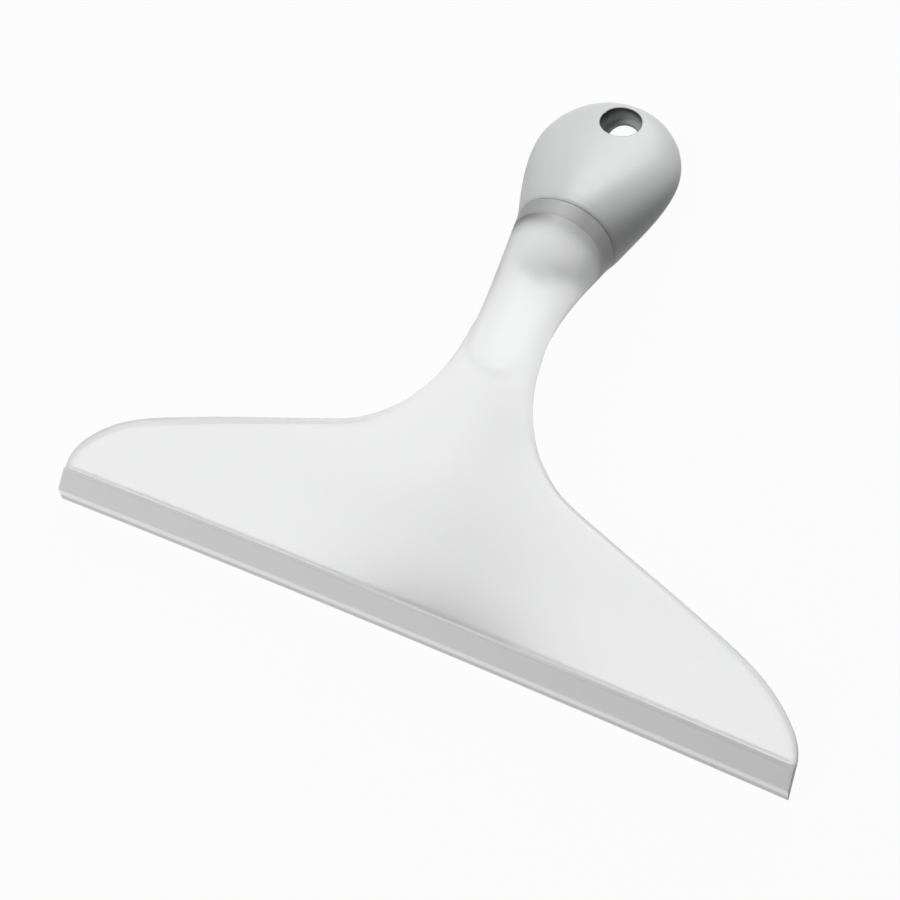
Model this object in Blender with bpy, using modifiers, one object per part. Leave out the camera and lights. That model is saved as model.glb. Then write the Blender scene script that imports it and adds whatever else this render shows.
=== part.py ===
"""A window cleaning squeegee, lying on its back.

The head is one frosted moulding: a thin plate that spreads out to the blade and
draws in to a round, hollow neck. A rubber strip is moulded round the tongue along
the plate's lower edge, and its thin lip does the wiping. A plug joins the neck to
the bulb grip, whose stepped hole hangs the squeegee on a hook.

X runs along the blade, Y from the blade to the grip's tip, and Z up from the face
that it lies on. The origin is at the middle of the underside.
"""
from math import cos, pi, radians, sin

import bmesh
import bpy
import numpy as np
from mathutils import Matrix

MM = 0.001

# Blade
BLADE_LENGTH = 240 * MM
BLADE_BOW = 1.2 * MM            # the blade's middle lies this far behind its ends
BLADE_END_LEAN = 0.6 * MM       # each end leans out by this down to the wiping edge
FACE_HEIGHT = 7.5 * MM          # flat front of the rubber strip
RUBBER_PROUD = 0.4 * MM         # rubber stands out from the plate, front and back
LIP_DROP = 4.6 * MM             # from the flat front down to the wiping edge
LIP_EDGE = 0.7 * MM             # thickness of the wiping edge
LIP_AXIS_DROP = 1.3 * MM        # from the flat front down to the lip's bending line
LIP_AXIS_BACK = 0.6 * MM        # bending line behind the plate's middle
LIP_ROOT_RADIUS = 1.05 * MM
LIP_ROOT_GAP = 0.35 * MM        # round the lip's root, which follows the bowed blade
LIP_SWING = radians(20)         # how far the lip bends each way
SOCKET_FRONT = radians(83)      # the strip wraps the lip's root between these angles,
SOCKET_BACK = radians(245)      # which turn from down the plate to its front
STRIP_END_WALL = 2.5 * MM       # rubber that closes the groove's ends
TONGUE_DEPTH = 5.5 * MM
TONGUE_THICKNESS = 1.6 * MM

# Head: seen from the side its middle is a slope, a bend, a level run, a bend and a
# straight neck
PLATE_THICKNESS = 3.6 * MM
PLATE_SLOPE = radians(33.2)
PLATE_RUN = 20.5 * MM
PLATE_BEND_RADIUS = 44.5 * MM
RING_AT = 118 * MM              # level distance from the plate's edge to the grip
NECK_SLOPE = radians(24.4)
RING_RADIUS = 15.75 * MM        # where neck and grip meet
RING_CLEARANCE = 1.2 * MM       # ring above the surface that the squeegee lies on
NECK_FLARE = 0.15               # how fast the neck widens at the ring
WAIST_RADIUS = 11 * MM
WAIST_AT = 87 * MM              # along the middle line, from the plate's edge
NECK_WALL = 2.5 * MM
BORE_DEPTH = 52 * MM
BORE_END_RADIUS = 8 * MM
# The wings' outline: share of the way up to the waist, and share of their reach
WING = ((0.0, 1.0), (0.14, 0.94), (0.27, 0.80), (0.37, 0.60), (0.47, 0.37),
        (0.54, 0.217), (0.62, 0.126), (0.73, 0.059), (0.86, 0.018), (1.0, 0.0))
CROWN_POWER = 0.7               # how the crown rises from the blade to the waist
CROWN_AT_BLADE = 30 * MM        # half-width of the crown's ridge
CROWN_AT_WAIST = 12 * MM
CROWN_BACK = 0.5                # share of the front crown on the back

# Grip
GRIP_LENGTH = 52 * MM
GRIP_WIDTH = 46.4 * MM
GRIP_WIDEST_AT = 29.5 * MM
GRIP_FLARE = 0.35               # how fast the grip widens at the ring
GRIP_AXIS_RADIUS = 130 * MM     # its middle line bends level towards the tip
GRIP_TAPER_FROM = 4 * MM
GRIP_SWELL = 0.2 * MM           # how much higher the grip is there than at the ring
GRIP_BACK_CUT = 0.5 * MM        # taken off the back for the flat that it lies on
GRIP_SECTION = 2.1              # superellipse exponent, past the round joint
TIP_ROUND = 3.6 * MM
HOLE_TO_TIP = 9 * MM            # along the grip's middle line, from its mouth's centre
HOLE_TILT = radians(8)
HOLE_RADIUS = 5.05 * MM
HOLE_STEP_RADIUS = 6.35 * MM
HOLE_STEP_DEPTH = 9.1 * MM

# Plug
SKIRT_LENGTH = 5.5 * MM
SKIRT_WALL = 1.8 * MM
SOCKET_SPARE = 4.5 * MM         # socket past the skirt's end
PLUG_SHOULDER = 3 * MM          # how far the plug's wide part reaches into the grip
PLUG_FLOOR = 1.5 * MM
STEM_LENGTH = 12 * MM
STEM_RADIUS = 5.5 * MM
STEM_TAPER = 0.8 * MM           # lost from the stem's radius along its length
RIB_HEIGHT = 0.7 * MM
RIB_COUNT = 3

FIT = 0.3 * MM                  # gap between pieces that touch
WELD = 0.001 * MM
OVERCUT = 1 * MM                # how far cutters pass the faces they open
HEAD_ROWS = 40
PLATE_COLUMNS = 12
BLADE_STEPS = 12
GRIP_ROWS = 22
GRIP_SIDES = 40
TURNED_SIDES = 48
RIM_ANGLES = (0, 35, 65, 90)    # degrees, round the plate's rounded rim
LIP_SOCKET_STEPS = 9
LIP_ROOT_STEPS = 13
BORE_STEPS = 8
BORE_END_STEPS = 5
SHARP_ANGLE = radians(35)       # edges sharper than this aren't shaded smooth

half_blade = BLADE_LENGTH / 2
plate_reach = half_blade - BLADE_END_LEAN
half_plate = PLATE_THICKNESS / 2
half_rubber = half_plate + RUBBER_PROUD
strip_foot = FIT + FACE_HEIGHT          # all three down the plate from its edge
lip_axis_down = strip_foot + LIP_AXIS_DROP
lip_foot = strip_foot + LIP_DROP
socket_run = SKIRT_LENGTH + SOCKET_SPARE
plug_top = PLUG_SHOULDER + STEM_LENGTH


def smooth(value, low, high):
    """0 below low, 1 above high, and an S curve between."""
    t = np.clip((value - low) / (high - low), 0, 1)
    return t * t * (3 - 2 * t)


def curve_through(points, value):
    """Cubic curve through (x, y) points, with slopes taken from their neighbours."""
    x, y = np.array(points, float).T
    slope = np.gradient(y, x)
    i = np.clip(np.searchsorted(x, value) - 1, 0, len(x) - 2)
    step = x[i + 1] - x[i]
    return flare(y[i], y[i + 1], slope[i], slope[i + 1], step, value - x[i])


def flare(start, end, start_slope, end_slope, length, value):
    """Cubic from start to end over a length, with a given slope at each end."""
    t = np.clip(value / length, 0, 1)
    rise = 3 * t**2 - 2 * t**3
    return (start + (end - start) * rise
            + length * (start_slope * t * (1 - t)**2 - end_slope * t**2 * (1 - t)))


# ------------------------------------------------------------------ middle line
edge_z = lip_foot * sin(PLATE_SLOPE) + half_rubber * cos(PLATE_SLOPE)
level_z = (edge_z + PLATE_RUN * sin(PLATE_SLOPE)
           + PLATE_BEND_RADIUS * (1 - cos(PLATE_SLOPE)))
ring_z = RING_RADIUS * cos(NECK_SLOPE) + RING_CLEARANCE
neck_bend_radius = ((level_z - ring_z - socket_run * sin(NECK_SLOPE))
                    / (1 - cos(NECK_SLOPE)))
level_run = (RING_AT - PLATE_RUN * cos(PLATE_SLOPE) - PLATE_BEND_RADIUS * sin(PLATE_SLOPE)
             - neck_bend_radius * sin(NECK_SLOPE) - socket_run * cos(NECK_SLOPE))
bend_at = np.cumsum((0, PLATE_RUN, PLATE_BEND_RADIUS * PLATE_SLOPE, level_run,
                     neck_bend_radius * NECK_SLOPE, socket_run))
head_length = bend_at[-1]
socket_at = bend_at[-2]


def slope_at(s):
    """Slope of the middle line, s along it from the plate's edge."""
    return np.interp(s, bend_at, (PLATE_SLOPE, PLATE_SLOPE, 0, 0, -NECK_SLOPE, -NECK_SLOPE))


def middle_line(s):
    """Y and Z of the middle line at s, by adding up short steps of its slope."""
    steps = np.linspace(0, head_length, 2001)
    angle = slope_at((steps[1:] + steps[:-1]) / 2)
    y = np.concatenate(([0], np.cumsum(np.cos(angle)))) * steps[1]
    z = np.concatenate(([0], np.cumsum(np.sin(angle)))) * steps[1] + edge_z
    before = np.minimum(s, 0)
    return (np.interp(s, steps, y) + before * cos(PLATE_SLOPE),
            np.interp(s, steps, z) + before * sin(PLATE_SLOPE))


def grip_line(a):
    """Y, Z and slope of the grip's middle line, a along it from the ring."""
    slope = a / GRIP_AXIS_RADIUS - NECK_SLOPE
    y = RING_AT + GRIP_AXIS_RADIUS * (np.sin(slope) + sin(NECK_SLOPE))
    z = ring_z + GRIP_AXIS_RADIUS * (cos(NECK_SLOPE) - np.cos(slope))
    return y, z, slope


tip_y = grip_line(GRIP_LENGTH)[0]
front_y = -lip_foot * cos(PLATE_SLOPE) + (half_rubber - LIP_EDGE) * sin(PLATE_SLOPE)
centre_y = (front_y + tip_y) / 2


# ------------------------------------------------------------------------- head
def half_width(s):
    """Half the head's width: the wings' outline, then the neck's flare."""
    wing = curve_through(WING, np.clip(s / WAIST_AT, 0, 1))
    neck = flare(WAIST_RADIUS, RING_RADIUS, 0, NECK_FLARE, head_length - WAIST_AT, s - WAIST_AT)
    return np.where(s < WAIST_AT, WAIST_RADIUS + (plate_reach - WAIST_RADIUS) * wing, neck)


def bow(x):
    """How far the blade lies behind its ends at x."""
    return BLADE_BOW * (1 - (x / half_blade)**2)


def blade_point(share, down, out):
    """A point of the blade: share of the way to its end, down the plate, out from it."""
    x = share * (plate_reach + BLADE_END_LEAN * down / lip_foot)
    return x, bow(share * half_blade) - down, out


def section(s):
    """Columns across one section of the head, with its front and back heights."""
    before, wide, after = half_width(np.array([s - half_plate, s, s + half_plate]))
    edge = half_plate * np.hypot(1, (after - before) / PLATE_THICKNESS)
    rim_columns = -wide + np.minimum(edge, wide) * (1 - np.cos(np.radians(RIM_ANGLES)))
    inner = np.linspace(rim_columns[-1], -rim_columns[-1], PLATE_COLUMNS + 1)[1:-1]
    flat = np.concatenate((rim_columns, inner, -rim_columns[::-1]))
    turn = np.linspace(-pi / 2, pi / 2, len(flat))
    roundness = smooth(s, WAIST_AT / 2, WAIST_AT)
    x = (1 - roundness) * flat + roundness * wide * np.sin(turn)
    inside = np.clip((wide - np.abs(x)) / edge, 0, 1)
    rim = half_plate * np.sqrt(1 - (1 - inside)**2)
    rise = (WAIST_RADIUS - half_plate) * np.clip(s / WAIST_AT, 0, 1)**CROWN_POWER
    ridge = np.interp(s, (0, WAIST_AT), (CROWN_AT_BLADE, CROWN_AT_WAIST))
    foot = np.exp(-(wide / ridge)**2)
    crown = rise * (np.exp(-(x / ridge)**2) - foot) / (1 - foot)
    middle = half_plate + rise if s < WAIST_AT else wide
    circle = middle * np.sqrt(np.clip(1 - (x / wide)**2, 0, 1))
    front = (1 - roundness) * (rim + crown) + roundness * circle
    back = (1 - roundness) * (rim + CROWN_BACK * crown) + roundness * circle
    return x, front, back


def head_row(s, x, front, back):
    """A closed ring of points round one section, front side first."""
    slope = slope_at(s)
    y, z = middle_line(s + bow(x) * (1 - smooth(s, 0, PLATE_RUN)))
    front_side = np.stack((x, y - front * np.sin(slope), z + front * np.cos(slope)), -1)
    back_side = np.stack((x, y + back * np.sin(slope), z - back * np.cos(slope)), -1)
    return np.concatenate((front_side, back_side[-2:0:-1]))


socket_radius = float(half_width(socket_at)) - NECK_WALL
bore_end = head_length - BORE_DEPTH + BORE_END_RADIUS


def bore_radius(s):
    """Radius of the hollow neck: a straight socket, then in step with the wall."""
    inner = np.minimum(half_width(s) - NECK_WALL, socket_radius)
    return BORE_END_RADIUS + (inner - BORE_END_RADIUS) * smooth(s, bore_end, WAIST_AT)


def round_row(s, radius, columns):
    """A ring of the bore with as many points as the head's sections."""
    x = radius * np.sin(np.linspace(-pi / 2, pi / 2, columns))
    height = np.sqrt(np.clip(radius**2 - x**2, 0, None))
    return head_row(s, x, height, height)


def head_rows():
    """Rings from the tongue's edge up to the neck's rim, then down its bore."""
    x, front, _ = section(0.0)
    tongue_x = x * (1 - (STRIP_END_WALL + FIT) / plate_reach)
    tongue = np.where(front > 0, TONGUE_THICKNESS / 2, 0)
    rows = [head_row(-TONGUE_DEPTH, tongue_x, 0 * tongue, 0 * tongue),
            head_row(-TONGUE_DEPTH, tongue_x, tongue, tongue),
            head_row(0.0, tongue_x, tongue, tongue)]
    for s in np.linspace(0, head_length, HEAD_ROWS):
        rows.append(head_row(s, *section(s)))
    for s in np.linspace(head_length, socket_at, 2):
        rows.append(round_row(s, socket_radius, len(x)))
    for s in np.linspace(socket_at, bore_end, BORE_STEPS)[1:]:
        rows.append(round_row(s, bore_radius(s), len(x)))
    for turn in np.linspace(0, pi / 2, BORE_END_STEPS)[1:]:
        rows.append(round_row(bore_end - BORE_END_RADIUS * sin(turn),
                              BORE_END_RADIUS * cos(turn), len(x)))
    return rows


# ------------------------------------------------------------------------- grip
def grip_heights(a, z, slope):
    """Heights of the grip's front and back over its middle line."""
    full = RING_RADIUS + GRIP_SWELL * np.clip(a / GRIP_TAPER_FROM, 0, 1)
    taper = np.clip((a - GRIP_TAPER_FROM) / (GRIP_LENGTH - GRIP_TAPER_FROM), 0, 1)
    to_tip = GRIP_LENGTH - a
    tip = 2 * TIP_ROUND * to_tip * np.exp(-to_tip / (2 * TIP_ROUND))
    front = np.sqrt((full * (1 - taper**2))**2 + tip)
    return front, np.minimum(front, (z + GRIP_BACK_CUT) / np.cos(slope))


def grip_row(a):
    """A closed ring of points round one section of the grip."""
    y, z, slope = grip_line(a)
    front, back = grip_heights(a, z, slope)
    past = max(a - GRIP_WIDEST_AT, 0) / (GRIP_LENGTH - GRIP_WIDEST_AT)
    wide = flare(RING_RADIUS, GRIP_WIDTH / 2, GRIP_FLARE, 0, GRIP_WIDEST_AT, a)
    wide = wide * np.sqrt(max(1 - past**2, 0))
    turn = np.linspace(0, 2 * pi, GRIP_SIDES, endpoint=False)
    reach = 2 / np.interp(a, (0, GRIP_TAPER_FROM), (2, GRIP_SECTION))
    x = -wide * np.sign(np.cos(turn)) * np.abs(np.cos(turn))**reach
    lift = np.sign(np.sin(turn)) * np.abs(np.sin(turn))**reach
    height = lift * np.where(lift > 0, front, back)
    return np.stack((x, y - height * np.sin(slope), z + height * np.cos(slope)), -1)


def grip_rows():
    """Rings from the middle of the grip's joint face out to its tip."""
    rows = [grip_row(FIT + (GRIP_LENGTH - FIT) * (1 - t**2))
            for t in np.linspace(1, 0, GRIP_ROWS)]
    face_centre = rows[0].mean(0)
    return [0 * rows[0] + face_centre] + rows


# ---------------------------------------------------------------------- objects
def collection(name):
    made = bpy.data.collections.new(name)
    bpy.context.scene.collection.children.link(made)
    return made


def material(name, colour, roughness):
    made = bpy.data.materials.new(name)
    made.use_nodes = True
    shader = made.node_tree.nodes["Principled BSDF"]
    shader.inputs["Base Color"].default_value = (*colour, 1)
    shader.inputs["Roughness"].default_value = roughness
    return made


def add(name, mesh, group, parent, look=None):
    """An object for a mesh, in a collection and under a parent."""
    made = bpy.data.objects.new(name, mesh)
    group.objects.link(made)
    made.parent = parent
    if look:
        mesh.materials.append(look)
    else:
        made.hide_render = True
        made.display_type = "WIRE"
    return made


def loft(name, rows, capped=False):
    """A mesh through rings of points; rings that shrink to a point or line close it."""
    count = len(rows[0])
    faces = [(i * count + j, i * count + (j + 1) % count,
              (i + 1) * count + (j + 1) % count, (i + 1) * count + j)
             for i in range(len(rows) - 1) for j in range(count)]
    if capped:
        faces += [range(count), range((len(rows) - 1) * count, len(rows) * count)]
    mesh = bpy.data.meshes.new(name)
    mesh.from_pydata(np.concatenate(rows).tolist(), [], faces)
    finish(mesh)
    return mesh


def finish(mesh):
    """Welds a mesh's seams, turns its faces outward and shades its round parts."""
    cleaned = bmesh.new()
    cleaned.from_mesh(mesh)
    bmesh.ops.remove_doubles(cleaned, verts=cleaned.verts, dist=WELD)
    bmesh.ops.recalc_face_normals(cleaned, faces=cleaned.faces)
    cleaned.to_mesh(mesh)
    cleaned.free()
    mesh.shade_smooth()
    mesh.set_sharp_from_angle(angle=SHARP_ANGLE)


def bowed_bar(name, profile, reach):
    """A profile of (down the plate, out from it) drawn along the bowed blade."""
    rows = [[blade_point(share, down, out) for down, out in profile]
            for share in np.linspace(-reach, reach, BLADE_STEPS + 1)]
    return loft(name, rows, capped=True)


def box_mesh(name, size):
    box = bmesh.new()
    bmesh.ops.create_cube(box, size=1, matrix=Matrix.Diagonal((*size, 1)))
    mesh = bpy.data.meshes.new(name)
    box.to_mesh(mesh)
    box.free()
    return mesh


def turned(made, profile):
    """Gives an object a turned shape: a profile of (radius, height), top to bottom."""
    mesh = made.data
    mesh.from_pydata([(radius, 0, height) for radius, height in profile],
                     [(i, i + 1) for i in range(len(profile) - 1)], [])
    screw = made.modifiers.new("turn", "SCREW")
    screw.steps = screw.render_steps = TURNED_SIDES
    screw.use_merge_vertices = True
    screw.merge_threshold = WELD
    screw.use_smooth_shade = False


def cut(made, cutter):
    boolean = made.modifiers.new(cutter.name, "BOOLEAN")
    boolean.operation = "DIFFERENCE"
    boolean.solver = "EXACT"
    boolean.object = cutter


def at_angle(centre, radius, angle):
    """A point of the blade's profile; the angle turns from down the plate to its front."""
    return centre[0] + radius * cos(angle), centre[1] + radius * sin(angle)


def ray_to_line(centre, angle, start, end):
    """Where a ray from a centre meets the line through two points of the profile."""
    across = (start[1] - end[1], end[0] - start[0])
    gap = (start[0] - centre[0]) * across[0] + (start[1] - centre[1]) * across[1]
    return at_angle(centre, gap / (cos(angle) * across[0] + sin(angle) * across[1]), angle)


for old in list(bpy.data.objects):
    bpy.data.objects.remove(old)

parts = collection("window_squeegee")
cutters = collection("cutters")

# Everything hangs from one empty, which brings the underside's middle to the origin
base = bpy.data.objects.new("base", None)
base.location = (0, -centre_y, 0)
parts.objects.link(base)

# Its own X and Y run along and up the plate, from the middle of the plate's edge
plate = bpy.data.objects.new("plate", None)
plate.location = (0, 0, edge_z)
plate.rotation_euler = (PLATE_SLOPE, 0, 0)
plate.parent = base
parts.objects.link(plate)

frosted = material("frosted_plastic", (0.90, 0.91, 0.91), 0.35)
rubber = material("rubber", (0.50, 0.50, 0.50), 0.6)
satin = material("satin_grey", (0.62, 0.63, 0.64), 0.4)
plug_plastic = material("plug_plastic", (0.45, 0.46, 0.47), 0.5)

add("head_moulding", loft("head_moulding", head_rows()), parts, base, frosted)

# Rubber: a strip round the tongue, and below it the lip that bends at its thin root
foot_front = (strip_foot, half_rubber)
edge_front = (lip_foot, LIP_EDGE - half_rubber)
edge_back = (lip_foot, -half_rubber)
pivot = (lip_axis_down, -LIP_AXIS_BACK)
clear_angle = LIP_SWING + LIP_ROOT_GAP / LIP_ROOT_RADIUS
socket_arc = np.linspace(SOCKET_FRONT, SOCKET_BACK, LIP_SOCKET_STEPS)
root_arc = np.linspace(SOCKET_BACK + clear_angle, SOCKET_FRONT - clear_angle, LIP_ROOT_STEPS)

strip_profile = [(FIT, half_rubber), foot_front,
                 ray_to_line(pivot, SOCKET_FRONT, foot_front, edge_front)]
strip_profile += [at_angle(pivot, LIP_ROOT_RADIUS + LIP_ROOT_GAP, angle) for angle in socket_arc]
strip_profile += [ray_to_line(pivot, SOCKET_BACK, edge_back, (FIT, -half_rubber)),
                  (FIT, -half_rubber)]
strip = add("rubber_strip", bowed_bar("rubber_strip", strip_profile, 1), parts, plate, rubber)

groove_side = TONGUE_THICKNESS / 2 + FIT
groove_profile = [(FIT - OVERCUT, groove_side), (TONGUE_DEPTH + FIT, groove_side),
                  (TONGUE_DEPTH + FIT, -groove_side), (FIT - OVERCUT, -groove_side)]
groove_reach = 1 - STRIP_END_WALL / plate_reach
cut(strip, add("groove", bowed_bar("groove", groove_profile, groove_reach), cutters, plate))

lip_profile = [ray_to_line(pivot, root_arc[-1], foot_front, edge_front), edge_front, edge_back,
               ray_to_line(pivot, root_arc[0], edge_back, (FIT, -half_rubber))]
lip_profile += [at_angle(pivot, LIP_ROOT_RADIUS, angle) for angle in root_arc]
lip = add("wiping_lip", bowed_bar("wiping_lip", lip_profile, 1), parts, plate, rubber)
lip.location = (0, BLADE_BOW / 2 - pivot[0], pivot[1])
lip.data.transform(Matrix.Translation(-lip.location))

# Plug: a cup in the neck's socket and a ribbed stem in the grip
plug_radius = socket_radius - FIT
plug_floor_at = PLUG_SHOULDER - PLUG_FLOOR


def stem_radius(height):
    return STEM_RADIUS - STEM_TAPER * (height - PLUG_SHOULDER) / STEM_LENGTH


plug_profile = [(0, plug_top), (stem_radius(plug_top), plug_top)]
rib_pitch = STEM_LENGTH / (RIB_COUNT + 1)
for rib in range(RIB_COUNT, 0, -1):
    under = PLUG_SHOULDER + rib * rib_pitch
    plug_profile += [(stem_radius(under + rib_pitch / 2), under + rib_pitch / 2),
                     (stem_radius(under) + RIB_HEIGHT, under), (stem_radius(under), under)]
plug_profile += [(STEM_RADIUS, PLUG_SHOULDER), (plug_radius, PLUG_SHOULDER),
                 (plug_radius, -SKIRT_LENGTH), (plug_radius - SKIRT_WALL, -SKIRT_LENGTH),
                 (plug_radius - SKIRT_WALL, plug_floor_at), (0, plug_floor_at)]
plug = add("grip_core", bpy.data.meshes.new("grip_core"), parts, base, plug_plastic)
turned(plug, plug_profile)

# Grip: its back cut flat, a cavity for the plug, and the stepped hole for hanging
grip = add("grip_bulb", loft("grip_bulb", grip_rows()), parts, base, satin)

floor = add("floor", box_mesh("floor", (2 * GRIP_WIDTH, 2 * GRIP_LENGTH, GRIP_WIDTH)),
            cutters, base)
floor.location = (0, RING_AT + GRIP_LENGTH / 2, -GRIP_WIDTH / 2)
cut(grip, floor)

stem_gap = RIB_HEIGHT + FIT
cavity = add("cavity", bpy.data.meshes.new("cavity"), cutters, base)
turned(cavity, [(0, plug_top + FIT), (stem_radius(plug_top) + stem_gap, plug_top + FIT),
                (STEM_RADIUS + stem_gap, PLUG_SHOULDER + FIT),
                (plug_radius + FIT, PLUG_SHOULDER + FIT),
                (plug_radius + FIT, -OVERCUT), (0, -OVERCUT)])
cut(grip, cavity)
for on_axis in (plug, cavity):
    on_axis.location = (0, RING_AT, ring_z)
    on_axis.rotation_euler = (-pi / 2 - NECK_SLOPE, 0, 0)

hole_at = GRIP_LENGTH - HOLE_TO_TIP
hole_y, hole_z, hole_slope = grip_line(hole_at)
hole_front = grip_heights(hole_at, hole_z, hole_slope)[0]
mouth_z = hole_z + hole_front * cos(hole_slope)
hole_end = (mouth_z + HOLE_RADIUS * sin(HOLE_TILT)) / cos(HOLE_TILT) + OVERCUT
hole = add("hanging_hole", bpy.data.meshes.new("hanging_hole"), cutters, base)
turned(hole, [(0, HOLE_STEP_RADIUS), (HOLE_STEP_RADIUS, HOLE_STEP_RADIUS),
              (HOLE_STEP_RADIUS, -HOLE_STEP_DEPTH), (HOLE_RADIUS, -HOLE_STEP_DEPTH),
              (HOLE_RADIUS, -hole_end), (0, -hole_end)])
hole.location = (0, hole_y - hole_front * sin(hole_slope), mouth_z)
hole.rotation_euler = (-HOLE_TILT, 0, 0)
cut(grip, hole)
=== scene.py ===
"""A window cleaning squeegee on its back: the looks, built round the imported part.

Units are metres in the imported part's own frame: X along the blade, Y from the blade
to the grip's tip, and Z up from the surface that the squeegee lies on.
"""
from math import cos, pi, radians, sin

import bmesh
import bpy
import numpy as np
from mathutils import Matrix, Vector


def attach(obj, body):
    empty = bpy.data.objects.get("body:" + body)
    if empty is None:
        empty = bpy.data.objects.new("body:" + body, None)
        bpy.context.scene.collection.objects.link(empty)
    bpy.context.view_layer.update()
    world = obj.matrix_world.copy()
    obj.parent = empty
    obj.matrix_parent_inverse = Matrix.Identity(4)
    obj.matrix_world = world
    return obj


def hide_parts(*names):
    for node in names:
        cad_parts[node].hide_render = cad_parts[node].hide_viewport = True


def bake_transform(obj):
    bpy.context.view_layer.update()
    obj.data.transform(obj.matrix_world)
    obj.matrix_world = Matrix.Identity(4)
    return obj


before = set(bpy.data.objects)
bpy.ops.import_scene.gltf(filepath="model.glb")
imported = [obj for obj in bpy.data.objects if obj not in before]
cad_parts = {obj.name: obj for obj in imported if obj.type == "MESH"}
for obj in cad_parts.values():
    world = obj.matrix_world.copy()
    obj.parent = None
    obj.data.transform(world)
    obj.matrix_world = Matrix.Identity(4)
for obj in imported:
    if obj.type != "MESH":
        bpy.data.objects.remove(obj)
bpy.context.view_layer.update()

# ------------------------------------------------------------------------ Head
# One moulding in frosted, translucent polypropylene: a thin plate that spreads to
# the blade and draws in to a round neck. The neck is hollow, and the plug's skirt
# inside it is painted as a grey band next to the grip, with painted shade and shadow.
half_blade = 0.120
plate_reach = 0.1194
blade_bow = 0.0012
half_plate = 0.0018
rim_power = 1.5
rim_share = 0.84
crown_power = 0.7
ridge_at_blade = 0.030
ridge_at_waist = 0.012
rim_width = 0.0015
half_rubber = 0.0022
seat_gap = 0.0003
face_height = 0.0075
lip_drop = 0.0046
lip_edge = 0.0007
lip_foot = seat_gap + face_height + lip_drop
tongue_depth = 0.0055
tongue_half = 0.0008
tongue_short = 0.0028
plate_slope = radians(33.2)
plate_run = 0.0205
plate_bend_radius = 0.0445
ring_at = 0.118
neck_slope = radians(24.4)
neck_run = 0.010
ring_radius = 0.01575
ring_clearance = 0.0012
neck_flare = 0.15
neck_wall = 0.0025
waist_radius = 0.011
waist_at = 0.087
fine_rows_to = 0.085
bore_depth = 0.052
bore_end_radius = 0.008
wing_up = np.array((0, 0.14, 0.27, 0.37, 0.47, 0.54, 0.62, 0.73, 0.86, 1))
wing_out = np.array((1, 0.94, 0.80, 0.60, 0.37, 0.217, 0.126, 0.059, 0.018, 0))
grip_length = 0.052
grip_bend_radius = 0.130
skirt_length = 0.0055
edge_round = 0.0003

edge_z = lip_foot * sin(plate_slope) + half_rubber * cos(plate_slope)
level_z = edge_z + plate_run * sin(plate_slope) + plate_bend_radius * (1 - cos(plate_slope))
ring_z = ring_radius * cos(neck_slope) + ring_clearance
neck_bend_radius = (level_z - ring_z - neck_run * sin(neck_slope)) / (1 - cos(neck_slope))
level_run = (ring_at - plate_run * cos(plate_slope) - plate_bend_radius * sin(plate_slope)
             - neck_bend_radius * sin(neck_slope) - neck_run * cos(neck_slope))
bends = np.cumsum((0, plate_run, plate_bend_radius * plate_slope, level_run,
                   neck_bend_radius * neck_slope, neck_run))
head_length = bends[-1]
bore_end = head_length - bore_depth + bore_end_radius

tip_y = ring_at + grip_bend_radius * (sin(grip_length / grip_bend_radius - neck_slope)
                                      + sin(neck_slope))
front_y = -lip_foot * cos(plate_slope) + (half_rubber - lip_edge) * sin(plate_slope)
edge_y = -(front_y + tip_y) / 2
ring_y = edge_y + ring_at


def smooth(value, low, high):
    """0 below low, 1 above high, and 3t^2 - 2t^3 between."""
    t = np.clip((value - low) / (high - low), 0, 1)
    return t * t * (3 - 2 * t)


def flare(start, end, start_slope, end_slope, length, value):
    """Cubic from start to end over a length, with a given slope at each end."""
    t = np.clip(value / length, 0, 1)
    return (start + (end - start) * (3 * t**2 - 2 * t**3)
            + length * (start_slope * t * (1 - t)**2 - end_slope * t**2 * (1 - t)))


def slope_at(s):
    """Slope of the head's middle line: straight runs with arcs between."""
    return np.interp(s, bends, (plate_slope, plate_slope, 0, 0, -neck_slope, -neck_slope))


def middle_line(s):
    """Y and Z of the middle line, as running sums of its slope's cosine and sine."""
    steps = np.linspace(0, head_length, 4001)
    angle = slope_at((steps[1:] + steps[:-1]) / 2)
    y = np.concatenate(([0], np.cumsum(np.cos(angle)))) * steps[1] + edge_y
    z = np.concatenate(([0], np.cumsum(np.sin(angle)))) * steps[1] + edge_z
    before = np.minimum(s, 0)
    return (np.interp(s, steps, y) + before * cos(plate_slope),
            np.interp(s, steps, z) + before * sin(plate_slope))


wing_slope = np.gradient(wing_out, wing_up)
wing_slope[0] = -0.1


def half_width(s):
    """Half the head's width: a cubic through the wing's shares, then the neck's flare."""
    up = np.clip(s / waist_at, 0, 1)
    i = np.clip(np.searchsorted(wing_up, up) - 1, 0, len(wing_up) - 2)
    wing = flare(wing_out[i], wing_out[i + 1], wing_slope[i], wing_slope[i + 1],
                 wing_up[i + 1] - wing_up[i], up - wing_up[i])
    neck = flare(waist_radius, ring_radius, 0, neck_flare, head_length - waist_at, s - waist_at)
    return np.where(s < waist_at, waist_radius + (plate_reach - waist_radius) * wing, neck)


def bow(x):
    """How far the blade lies behind its ends: a parabola along it."""
    return blade_bow * (1 - (x / half_blade)**2)


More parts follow.
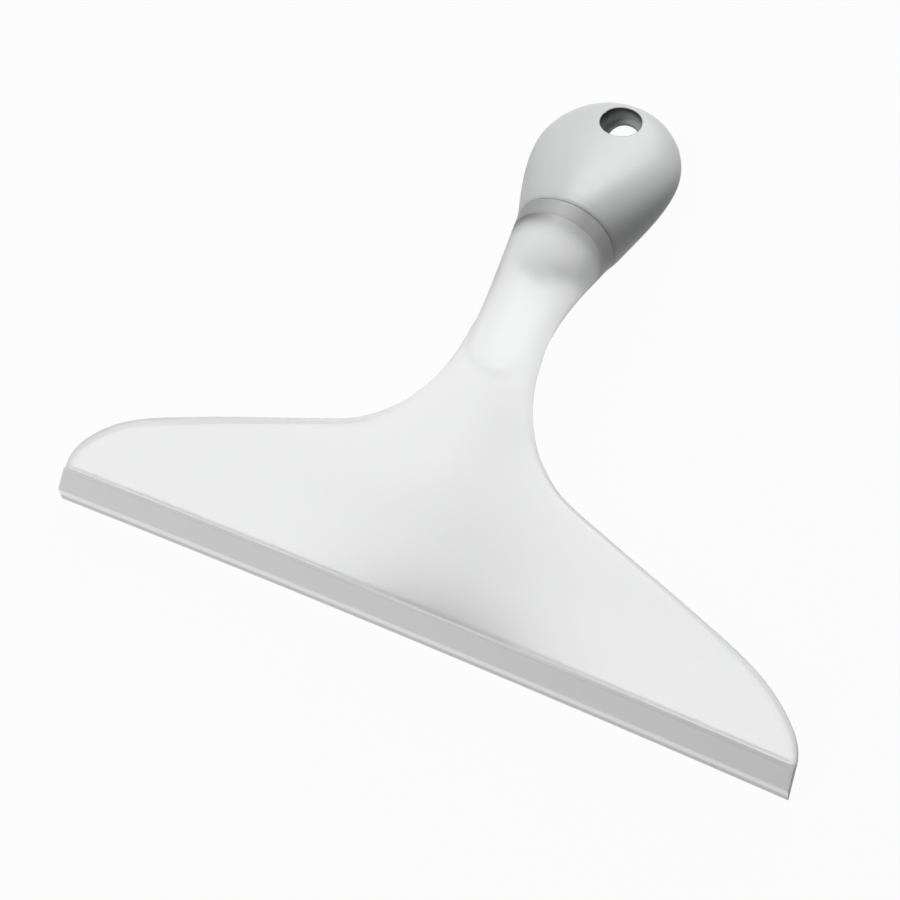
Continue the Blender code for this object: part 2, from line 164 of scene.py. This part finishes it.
def head_section(s, across):
    """x and the front and back heights over the middle line; across runs from -1 to 1.

    The plate is flat with a superelliptic rim and a Gaussian ridge along its middle,
    and turns into a circle towards the waist.
    """
    wide = half_width(s)
    step = 0.0005
    stretch = np.hypot(1, (half_width(s + step) - half_width(s - step)) / (2 * step))
    edge = np.minimum(half_plate * stretch, wide)
    in_rim = np.clip((np.abs(across) - rim_share) / (1 - rim_share), 0, 1)
    flat = np.sign(across) * ((wide - edge) * np.minimum(np.abs(across) / rim_share, 1)
                              + edge * np.sin(in_rim * pi / 2))
    roundness = smooth(s, waist_at / 2, waist_at)
    x = (1 - roundness) * flat + roundness * wide * np.sin(across * pi / 2)
    inside = np.clip((wide - np.abs(x)) / edge, 0, 1)
    rim = half_plate * (1 - (1 - inside)**rim_power)**(1 / rim_power)
    rise = (waist_radius - half_plate) * np.clip(s / waist_at, 0, 1)**crown_power
    ridge = np.interp(s, (0, waist_at), (ridge_at_blade, ridge_at_waist))
    foot = np.exp(-(wide / ridge)**2)
    crown = rise * (np.exp(-(x / ridge)**2) - foot) / (1 - foot)
    middle = np.where(s < waist_at, half_plate + rise, wide)
    circle = middle * np.sqrt(np.clip(1 - (x / wide)**2, 0, 1))
    return (x, (1 - roundness) * (rim + crown) + roundness * circle,
            (1 - roundness) * (rim + crown / 2) + roundness * circle)


def head_ring(s, x, front, back):
    """Points of rings round the head: along the front, then back along the back."""
    y, z = middle_line(s + bow(x) * (1 - smooth(s, 0, plate_run)))
    slope = slope_at(s)

    def lifted(height):
        return np.stack(np.broadcast_arrays(x, y - height * np.sin(slope),
                                            z + height * np.cos(slope)), -1)
    return np.concatenate((lifted(front), lifted(-back)[:, -2:0:-1]), 1)


def skin(name, rings, capped=False, **values):
    """A closed mesh over rings of points, with named values for its material at each."""
    rows, columns = rings.shape[:2]
    here = np.arange(rows * columns).reshape(rows, columns)
    beside = np.roll(here, -1, 1)
    faces = np.stack((here[:-1], beside[:-1], beside[1:], here[1:]), -1).reshape(-1, 4).tolist()
    if capped:
        faces += [here[0].tolist(), here[-1].tolist()]
    mesh = bpy.data.meshes.new(name)
    mesh.from_pydata(rings.reshape(-1, 3).tolist(), [], faces)
    for label, value in values.items():
        attribute = mesh.attributes.new(label, "FLOAT", "POINT")
        attribute.data.foreach_set("value", np.broadcast_to(value, (rows, columns)).ravel())
    welded = bmesh.new()
    welded.from_mesh(mesh)
    bmesh.ops.remove_doubles(welded, verts=welded.verts, dist=1e-6)
    bmesh.ops.recalc_face_normals(welded, faces=welded.faces)
    welded.to_mesh(mesh)
    welded.free()
    mesh.shade_smooth()
    mesh.set_sharp_from_angle(angle=radians(40))
    for face in mesh.polygons[-2:] if capped else ():
        face.use_smooth = False
    piece = bpy.data.objects.new(name, mesh)
    bpy.context.scene.collection.objects.link(piece)
    return piece


def material(name):
    """A new material, its node tree and its shader."""
    made = bpy.data.materials.new(name)
    made.use_nodes = True
    return made, made.node_tree, made.node_tree.nodes["Principled BSDF"]


def add_node(tree, kind, **inputs):
    """A node with the named inputs set to values, or linked where an output is given."""
    made = tree.nodes.new("ShaderNode" + kind)
    for name, value in inputs.items():
        socket = made.inputs[name.replace("_", " ")]
        if isinstance(value, bpy.types.NodeSocket):
            tree.links.new(value, socket)
        else:
            socket.default_value = value
    return made


def noise(tree, size, detail=2, stretch=(1, 1, 1)):
    """A noise pattern with waves of a given size in the object's own coordinates."""
    place = add_node(tree, "TexCoord").outputs["Object"]
    place = add_node(tree, "Mapping", Vector=place, Scale=stretch).outputs["Vector"]
    return add_node(tree, "TexNoise", Vector=place, Scale=1 / size,
                    Detail=detail).outputs["Fac"]


def spread(tree, pattern, low, high):
    """The pattern's middle part, mapped to run from low to high."""
    return add_node(tree, "MapRange", Value=pattern, From_Min=0.3, From_Max=0.7,
                    To_Min=low, To_Max=high).outputs["Result"]


def bumps(tree, shader, pattern, depth, strength=1):
    """Raises the surface by a pattern of a given depth."""
    bump = add_node(tree, "Bump", Height=pattern, Distance=depth, Strength=strength)
    tree.links.new(bump.outputs["Normal"], shader.inputs["Normal"])


across = np.linspace(-1, 1, 121)[None]
x0, front0, _ = head_section(np.zeros((1, 1)), across)
tongue_x = x0 * (1 - tongue_short / plate_reach)
tongue = np.where(front0 > 0, tongue_half, 0)
tongue_s = np.full((1, 1), -tongue_depth)
plate_s = np.concatenate((np.linspace(0, fine_rows_to, 255, endpoint=False),
                          np.linspace(fine_rows_to, head_length - edge_round, 80)))[:, None]

turn = np.linspace(0, pi / 2, 5)[1:, None]
end_s = head_length - edge_round * (1 - np.sin(turn))
end_r = ring_radius - edge_round * (1 - np.cos(turn))
socket_radius = half_width(bends[4]) - neck_wall


def bore_half(s):
    """The bore's radius: the neck less its wall, drawn in to a round end."""
    narrowed = np.minimum(half_width(s) - neck_wall, socket_radius)
    return np.where(s >= bore_end,
                    bore_end_radius + (narrowed - bore_end_radius) * smooth(s, bore_end, waist_at),
                    np.sqrt(np.clip(bore_end_radius**2 - (bore_end - s)**2, 0, None)))


end_turn = np.linspace(0, pi / 2, 14)[1:]
bore_s = np.concatenate((np.linspace(head_length, bore_end, 50),
                         bore_end - bore_end_radius * np.sin(end_turn)))[:, None]
bore_r = bore_half(bore_s)
round_s = np.concatenate((end_s, bore_s))
round_x = np.concatenate((end_r, bore_r)) * np.sin(across * pi / 2)
round_h = np.concatenate((end_r, bore_r)) * np.cos(across * pi / 2)
plate_x, plate_front, plate_back = head_section(plate_s, across)

# Tone, mostly painted light and shade: the plug's grey over its skirt with painted shade,
# a painted shadow fading past it, painted shade along the rim, painted light over the
# hollow with painted shade at its left, and a painted fan of shade above the blade's middle
from_ring = head_length - plate_s
side = plate_x / half_width(plate_s)
under_wall = from_ring / skirt_length
# The plug's grey seen through over its skirt, with painted shade that changes from left to right
skirt_grey_and_shade = 0.56 * smooth(under_wall, 1.04, 0.98) * np.interp(
    side, (-1, -0.5, 0, 0.5, 0.85, 1), (1.1, 1.06, 0.78, 1.0, 0.85, 0.5))
# Painted shadow past the skirt's end, strongest at the left, fading away from the grip
painted_skirt_shadow = np.interp(under_wall, (0.98, 1.04, 1.3, 1.7, 2.3), (0, 0.46, 0.36, 0.13, 0)) * (
    np.interp(side, (-1, -0.5, 0, 0.5, 1), (1.6, 1.5, 0.5, 0.8, 0.7)))
# Painted shade in a thin band along the rim, narrower and darker towards the right, fading out up
# the plate
to_rim = (half_width(plate_s) - np.abs(plate_x)) / np.hypot(
    1, (half_width(plate_s + 0.0005) - half_width(plate_s - 0.0005)) / 0.001)
band = np.interp(side, (-1, 0, 1), (rim_width + 0.0005, rim_width, rim_width - 0.0009))
painted_rim_shade = smooth(to_rim, band + 0.0005 + 0.0002 * side, band) * (
    0.14 + (0.06 + 0.04 * side) * smooth(to_rim, 0.0001, 0.0004))
painted_rim_shade = painted_rim_shade * (1 - smooth(plate_s, 0.04, 0.07))
# Painted light over the hollow near the grip, painted shade along its left edge, and painted light
# on the neck's right side
hollow = bore_half(plate_s) - np.abs(plate_x)
painted_hollow_light_and_shade = (0.07 * smooth(hollow, -0.0012, 0.0018) * smooth(from_ring, 0.008, 0.012)
               - 0.08 * np.exp(-(hollow / 0.002)**2) * smooth(side, 0, -0.4)
               + 0.07 * smooth(side, 0.3, 0.8)) * smooth(plate_s, 0.060, 0.075)
# Painted fan of shade above the middle of the blade, and a painted light line just above the strip
painted_fan_shade = (0.36 * np.exp(-((plate_x - 0.012) / 0.030)**2 - plate_s / 0.020)
       + 0.05 * np.exp(-((plate_x + 0.004) / 0.035)**2 - plate_s / 0.003)
       - 0.04 * np.exp(-(plate_s / 0.0012)**2))
head_tone = (1 - skirt_grey_and_shade - painted_skirt_shadow) * (1 - painted_rim_shade) * (1 + painted_hollow_light_and_shade) * (1 - painted_fan_shade)
head_tone = np.concatenate((head_tone, head_tone[:, -2:0:-1]), 1)
plain = np.ones((3, head_tone.shape[1]))
bore_wall = np.ones((len(round_s), head_tone.shape[1]))
# Painted shade darkens the neck's rounded end into a line where it meets the grip; painted light
# makes the bore's walls a little lighter
joint_shade_and_hollow_light = np.where(round_s > head_length - edge_round, 0.3, 1.08)

# The plastic looks less clear near the plug, and passes light there as a soft glow
opaque = smooth(from_ring, 0.027 - 0.006 * smooth(side, 0.3, 0.8), 0.012)
opaque = np.concatenate((opaque, opaque[:, -2:0:-1]), 1)
head_clear = np.interp(plate_s, (0.06, 0.08), (0.75, 0.9)) * (1 - opaque)
head_through = 0.5 * opaque * smooth(from_ring, 0.004, 0.007)
head = skin("head", np.concatenate((
    head_ring(tongue_s, tongue_x, 0 * tongue, 0 * tongue),
    head_ring(tongue_s, tongue_x, tongue, tongue),
    head_ring(0 * tongue_s, tongue_x, tongue, tongue),
    head_ring(plate_s, plate_x, plate_front, plate_back),
    head_ring(round_s, round_x, round_h, round_h))),
    shade=np.concatenate((plain, head_tone, joint_shade_and_hollow_light * bore_wall)),
    clear=np.concatenate((0 * plain, head_clear, bore_wall)),
    through=np.concatenate((0 * plain, head_through, 0 * bore_wall)))

frosted, tree, shader = material("frosted_polypropylene")
shade = add_node(tree, "Attribute")
shade.attribute_name = "shade"
speckle = spread(tree, noise(tree, 0.0009, 3), 0.985, 1.0)
tone = add_node(tree, "Math", Value=shade.outputs["Fac"])
tone.operation = "MULTIPLY"
tree.links.new(speckle, tone.inputs[1])
colour = add_node(tree, "VectorMath", Vector=(0.925, 0.927, 0.931))
colour.operation = "SCALE"
tree.links.new(tone.outputs["Value"], colour.inputs["Scale"])
tree.links.new(colour.outputs["Vector"], shader.inputs["Base Color"])
tree.links.new(spread(tree, noise(tree, 0.004), 0.38, 0.46), shader.inputs["Roughness"])
shader.inputs["Subsurface Weight"].default_value = 0.3
shader.inputs["Subsurface Radius"].default_value = (1, 1, 1)
shader.inputs["Subsurface Scale"].default_value = 0.002
entering = add_node(tree, "Attribute")
entering.attribute_name = "clear"
leaving = add_node(tree, "NewGeometry").outputs["Backfacing"]
clear = add_node(tree, "MapRange", Value=leaving, To_Min=entering.outputs["Fac"], To_Max=1)
tree.links.new(clear.outputs["Result"], shader.inputs["Transmission Weight"])
shader.inputs["IOR"].default_value = 1.2
bumps(tree, shader, noise(tree, 0.0005), 0.00002)
through = add_node(tree, "Attribute")
through.attribute_name = "through"
scattered = add_node(tree, "MapRange", Value=leaving, To_Min=through.outputs["Fac"], To_Max=0)
glowing = add_node(tree, "BsdfTranslucent", Color=colour.outputs["Vector"])
mix = add_node(tree, "MixShader", Fac=scattered.outputs["Result"])
tree.links.new(shader.outputs["BSDF"], mix.inputs[1])
tree.links.new(glowing.outputs["BSDF"], mix.inputs[2])
tree.links.new(mix.outputs["Shader"], tree.nodes["Material Output"].inputs["Surface"])
head.data.materials.append(frosted)
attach(head, "squeegee")
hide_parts("head_moulding")

# ---------------------------------------------------------------------- Rubber
# One strip of soft grey rubber moulded round the plate's tongue: a flat front, and a
# bevel below that thins it to the wiping edge. In use the lip bends where the bevel starts.
end_top = plate_reach - 0.00035
end_lean = 0.00095
rubber_top = 0.00003
rubber_round = 0.00015
top_chamfer = 0.0012
point_spacing = 0.00045
strip_foot = seat_gap + face_height


def blade_point(share, down, out):
    """A point of the bowed blade: share of the way to its end, down and out of the plate."""
    x = share * (end_top + end_lean * down / lip_foot)
    along = bow(share * half_blade) - down
    return np.stack((x, edge_y + along * cos(plate_slope) - out * sin(plate_slope),
                     edge_z + along * sin(plate_slope) + out * cos(plate_slope)), -1)


corners = np.array(((rubber_top, half_plate), (top_chamfer, half_rubber), (strip_foot, half_rubber),
                    (lip_foot, lip_edge - half_rubber), (lip_foot, -half_rubber),
                    (rubber_top, -half_rubber)))


def rounded(corners, radii, steps):
    """A closed profile with a parabola of about its own radius across each corner."""
    before = np.roll(corners, 1, 0) - corners
    after = np.roll(corners, -1, 0) - corners
    before *= (radii / np.hypot(*before.T))[:, None]
    after *= (radii / np.hypot(*after.T))[:, None]
    t = np.linspace(0, 1, steps)[None, :, None]
    return (corners[:, None] + before[:, None] * (1 - t)**2 + after[:, None] * t**2).reshape(-1, 2)


def filled(profile, spacing):
    """The same closed profile with more points on its long sides."""
    ends = np.roll(profile, -1, 0)
    counts = np.maximum(np.ceil(np.hypot(*(ends - profile).T) / spacing), 1).astype(int)
    at = np.concatenate([np.arange(n) / n for n in counts])[:, None]
    return profile.repeat(counts, 0) * (1 - at) + ends.repeat(counts, 0) * at


profile = filled(rounded(corners, np.array((0.2, 1, 1, 1, 1, 1)) * rubber_round, 5), point_spacing)
inward = np.roll(profile, 1, 0) - np.roll(profile, -1, 0)
inward = np.stack((-inward[:, 1], inward[:, 0]), -1) / np.hypot(*inward.T)[:, None]
end_turn = np.linspace(0, pi / 2, 4)
end_inset = rubber_round * (1 - np.sin(end_turn))
end_share = 1 - rubber_round * (1 - np.cos(end_turn))[::-1] / half_blade
shares = np.concatenate((-end_share[::-1], np.linspace(-1, 1, 161)[1:-1], end_share))
inset = np.concatenate((end_inset, np.zeros(159), end_inset[::-1]))
shape = profile[None] + inset[:, None, None] * inward[None]
rings = blade_point(shares[:, None], shape[..., 0], shape[..., 1])

# Painted light and shade: a light bevel ending in a darker wiping edge, a highlight on top, light
# ends
painted_bevel_light_and_shade = np.interp(profile[:, 0], (strip_foot, strip_foot + 0.0004,
                                       lip_foot - 0.0024, lip_foot - 0.0016),
                       (1, 1.34, 1.34, 0.9))
# Painted highlight along the strip's top edge, brightest near the middle
painted_top_highlight = smooth(profile[:, 0], 0.0009, 0.0006) * (
    0.08 + 0.22 * np.exp(-((half_blade * shares[:, None] - 0.02) / 0.045)**2))
rubber_painted_light = np.where(profile[:, 1] > 0.0001 - half_rubber, painted_bevel_light_and_shade + painted_top_highlight, 1)
# Painted light makes the strip's end faces lighter
rubber_painted_light[inset > 0] = 1.3
rubber = skin("rubber", rings, capped=True, shade=rubber_painted_light)

soft_rubber, tree, shader = material("grey_rubber")
shade = add_node(tree, "Attribute")
shade.attribute_name = "shade"
colour = add_node(tree, "VectorMath", Vector=(0.70, 0.70, 0.70))
colour.operation = "SCALE"
tree.links.new(shade.outputs["Fac"], colour.inputs["Scale"])
tree.links.new(colour.outputs["Vector"], shader.inputs["Base Color"])
tree.links.new(spread(tree, noise(tree, 0.002, 3), 0.55, 0.68), shader.inputs["Roughness"])
bumps(tree, shader, noise(tree, 0.0004, 3, (0.3, 1, 1)), 0.000015)
rubber.data.materials.append(soft_rubber)
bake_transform(rubber)
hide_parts("rubber_strip", "wiping_lip")

# ------------------------------------------------------------------------ Grip
# A bulb moulded in satin grey plastic, flat underneath and pushed onto the plug. The
# stepped hole near its tip hangs the squeegee on a hook.
grip_half = 0.0232
widest_at = 0.0295
grip_flare = 0.35
taper_from = 0.004
grip_swell = 0.0002
back_cut = 0.0005
tip_round = 0.0036
section_power = 2.1
hole_to_tip = 0.009
hole_tilt = radians(8)
hole_radius = 0.00505
step_radius = 0.00635
step_depth = 0.0091
hole_round = 0.0005
ledge_round = 0.0003
cutter_top = 0.008
cutter_foot = -0.03
plug_radius = 0.0116
plug_top = 0.015
stem_radius = 0.0055
stem_end_radius = 0.0047
stem_room = 0.0010
plug_seat = 0.0033


def grip_line(a):
    """Y, Z and slope of the grip's middle line: an arc that starts along the neck."""
    slope = a / grip_bend_radius - neck_slope
    return (ring_y + grip_bend_radius * (np.sin(slope) + sin(neck_slope)),
            ring_z + grip_bend_radius * (cos(neck_slope) - np.cos(slope)), slope)


def grip_heights(a, z, slope):
    """Front and back heights: a parabola that runs out into a rounded tip."""
    full = ring_radius + grip_swell * np.clip(a / taper_from, 0, 1)
    taper = np.clip((a - taper_from) / (grip_length - taper_from), 0, 1)
    to_tip = grip_length - a
    tip = 2 * tip_round * to_tip * np.exp(-to_tip / (2 * tip_round))
    front = np.sqrt((full * (1 - taper**2))**2 + tip)
    return front, np.minimum(front, (z + back_cut) / np.cos(slope))


round_turn = np.linspace(0, 2 * pi, 360, endpoint=False)[None]
t = np.linspace(1, 0, 150)[:, None]
a = seat_gap + (grip_length - seat_gap) * (1 - t**2)
y, z, slope = grip_line(a)
front, back = grip_heights(a, z, slope)
past = np.clip((a - widest_at) / (grip_length - widest_at), 0, 1)
wide = flare(ring_radius, grip_half, grip_flare, 0, widest_at, a) * np.sqrt(1 - past**2)
reach = 2 / np.interp(a, (0, taper_from), (2, section_power))
x = -wide * np.sign(np.cos(round_turn)) * np.abs(np.cos(round_turn))**reach
lift = np.sign(np.sin(round_turn)) * np.abs(np.sin(round_turn))**reach
corner = edge_round * (1 - np.sqrt(np.clip(1 - (1 - (a - seat_gap) / edge_round)**2, 0, 1)))
corner = np.where(a < seat_gap + edge_round, corner, 0)
height = lift * (np.where(lift > 0, front, back) - corner)
x = x * (1 - corner / ring_radius)
outside = np.stack((x, y - height * np.sin(slope), z + height * np.cos(slope)), -1)
flat_softness = 0.0001
outside[..., 2] = (outside[..., 2] + np.sqrt(outside[..., 2]**2 + flat_softness**2)) / 2

# Round the hole's mouths the surface dips along the hole's axis by a quarter circle
hole_at = grip_length - hole_to_tip
hole_y, hole_z, hole_slope = grip_line(hole_at)
hole_front = grip_heights(hole_at, hole_z, hole_slope)[0]
mouth = np.array((0, hole_y - hole_front * sin(hole_slope), hole_z + hole_front * cos(hole_slope)))
axis = np.array((0, sin(hole_tilt), cos(hole_tilt)))
off_axis = outside - mouth
off_axis = np.linalg.norm(off_axis - (off_axis @ axis)[..., None] * axis, axis=-1)


def dip(radius, rounding):
    """Depth of a quarter-circle rounding round a hole of that radius."""
    near = np.clip(radius + rounding - off_axis, 0, rounding)
    return rounding - np.sqrt(rounding**2 - near**2)


sink = np.where(lift > 0, dip(step_radius, hole_round), -dip(hole_radius, hole_round / 2))
outside -= sink[..., None] * axis

# The cavity for the plug: rings round the neck's axis, from its end to the joint face
cavity = np.array(((0, plug_top + seat_gap), (stem_end_radius + stem_room, plug_top + seat_gap),
                   (stem_radius + stem_room, plug_seat), (plug_radius + seat_gap, plug_seat),
                   (plug_radius + seat_gap, seat_gap)))
cavity_r, cavity_a = cavity.T[..., None]
cavity_h = cavity_r * np.sin(round_turn)
inside = np.stack(np.broadcast_arrays(
    -cavity_r * np.cos(round_turn),
    ring_y + cavity_a * cos(neck_slope) + cavity_h * sin(neck_slope),
    ring_z - cavity_a * sin(neck_slope) + cavity_h * cos(neck_slope)), -1)
grip = skin("grip", np.concatenate((inside, outside)), shade=1.0)

bore = np.array(((0, cutter_top), (step_radius, cutter_top), (step_radius, -step_depth),
                 (step_radius - ledge_round / 3, -step_depth),
                 (hole_radius + ledge_round, -step_depth),
                 (hole_radius + ledge_round * 0.3, -step_depth - ledge_round * 0.3),
                 (hole_radius, -step_depth - ledge_round), (hole_radius, cutter_foot),
                 (0, cutter_foot)))
bore_turn = np.linspace(0, 2 * pi, 128, endpoint=False)[None]
bore_radius, bore_height = bore.T[..., None]
bore_side = np.cross(axis, (1, 0, 0))
bore_points = (mouth + bore_height[..., None] * axis
               + (bore_radius * np.cos(bore_turn))[..., None] * np.array((1, 0, 0))
               + (bore_radius * np.sin(bore_turn))[..., None] * bore_side)
# Painted shade on the hole's wide wall and painted light on its ledge
cutter = skin("hanging_hole", bore_points,
              shade=np.array((1, 0.45, 0.45, 1.2, 1.2, 1.8, 0.9, 0.9, 1))[:, None])
cutter.hide_render = True
cut = grip.modifiers.new("hanging_hole", "BOOLEAN")
cut.object = cutter
cut.solver = "EXACT"

satin, tree, shader = material("satin_grey")
shade = add_node(tree, "Attribute")
shade.attribute_name = "shade"
colour = add_node(tree, "VectorMath", Vector=(0.56, 0.567, 0.569))
colour.operation = "SCALE"
tree.links.new(shade.outputs["Fac"], colour.inputs["Scale"])
tree.links.new(colour.outputs["Vector"], shader.inputs["Base Color"])
shader.inputs["Specular IOR Level"].default_value = 0.3
tree.links.new(spread(tree, noise(tree, 0.003, 3), 0.37, 0.43), shader.inputs["Roughness"])
bumps(tree, shader, noise(tree, 0.00035, 3), 0.000012)
grip.data.materials.append(satin)
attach(grip, "squeegee")
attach(cutter, "squeegee")
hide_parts("grip_bulb")

# ------------------------------------------------------------------------ Plug
# A ribbed plug in grey plastic, pressed into both the neck and the grip to join them.
plug_plastic, tree, shader = material("plug_plastic")
# This grey is lighter than the real plug's, as painted light for the plug where it shows through
# the neck
shader.inputs["Base Color"].default_value = (0.62, 0.625, 0.63, 1)
tree.links.new(spread(tree, noise(tree, 0.002, 3), 0.45, 0.6), shader.inputs["Roughness"])
bumps(tree, shader, noise(tree, 0.0004), 0.00001)
for material_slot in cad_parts["grip_core"].material_slots:
    material_slot.material = plug_plastic

# ------------------------------------------------------- Floor, light and camera
def seen_rays(tree):
    """1 for rays that show the background, straight or through gloss or clear plastic."""
    rays = tree.nodes.new("ShaderNodeLightPath").outputs
    seen = rays["Is Camera Ray"]
    for other in ("Is Glossy Ray", "Is Transmission Ray"):
        either = add_node(tree, "Math", Value=seen)
        either.operation = "MAXIMUM"
        tree.links.new(rays[other], either.inputs[1])
        seen = either.outputs["Value"]
    return seen


floor_mesh = bpy.data.meshes.new("floor")
floor_mesh.from_pydata([(-3, -3, 0), (3, -3, 0), (3, 3, 0), (-3, 3, 0)], [], [(0, 1, 2, 3)])
floor = bpy.data.objects.new("floor", floor_mesh)
bpy.context.scene.collection.objects.link(floor)
paper, tree, shader = material("white_floor")
shader.inputs["Base Color"].default_value = (0.4, 0.4, 0.4, 1)
shader.inputs["Roughness"].default_value = 0.9
glow = add_node(tree, "Emission", Strength=1.0)
share = add_node(tree, "Math", Value=seen_rays(tree))
share.operation = "MULTIPLY"
share.inputs[1].default_value = 0.96
mix = add_node(tree, "MixShader", Fac=share.outputs["Value"])
tree.links.new(shader.outputs["BSDF"], mix.inputs[1])
tree.links.new(glow.outputs["Emission"], mix.inputs[2])
tree.links.new(mix.outputs["Shader"], tree.nodes["Material Output"].inputs["Surface"])
floor_mesh.materials.append(paper)

world = bpy.data.worlds.new("studio")
world.use_nodes = True
tree = world.node_tree
lit = add_node(tree, "MapRange", Value=seen_rays(tree), To_Min=0.02, To_Max=1)
backdrop = tree.nodes["Background"]
backdrop.inputs["Color"].default_value = (1, 1, 1, 1)
tree.links.new(lit.outputs["Result"], backdrop.inputs["Strength"])
bpy.context.scene.world = world

aim = Vector((0, 0, 0.02))
camera_axes = Matrix(((0.8948, -0.3426, 0.2864), (0.3984, 0.9022, -0.1653),
                      (-0.2018, 0.2620, 0.9437)))


def lamp(name, place, size, power):
    """A square softbox that faces the squeegee; its place is across, up and towards the camera."""
    light = bpy.data.lights.new(name, "AREA")
    light.size = size
    light.energy = power
    made = bpy.data.objects.new(name, light)
    made.location = aim + camera_axes @ Vector(place)
    made.visible_transmission = False
    made.rotation_euler = (aim - made.location).to_track_quat("-Z", "Y").to_euler()
    bpy.context.scene.collection.objects.link(made)


lamp("key", (0.25, 0.94, 0.2), 0.5, 9)
lamp("side", (-0.66, 0.17, 0.73), 0.5, 4.2)
lamp("fill", (-0.57, -0.72, 0.4), 0.5, 3.8)

camera = bpy.data.objects.new("camera", bpy.data.cameras.new("camera"))
camera.data.lens = 80.93
camera.data.sensor_width = 36
camera.location = (0.16355, -0.13137, 0.57473)
camera.rotation_euler = camera_axes.to_euler()
bpy.context.scene.collection.objects.link(camera)
bpy.context.scene.camera = camera
bpy.context.scene.view_settings.view_transform = "Standard"
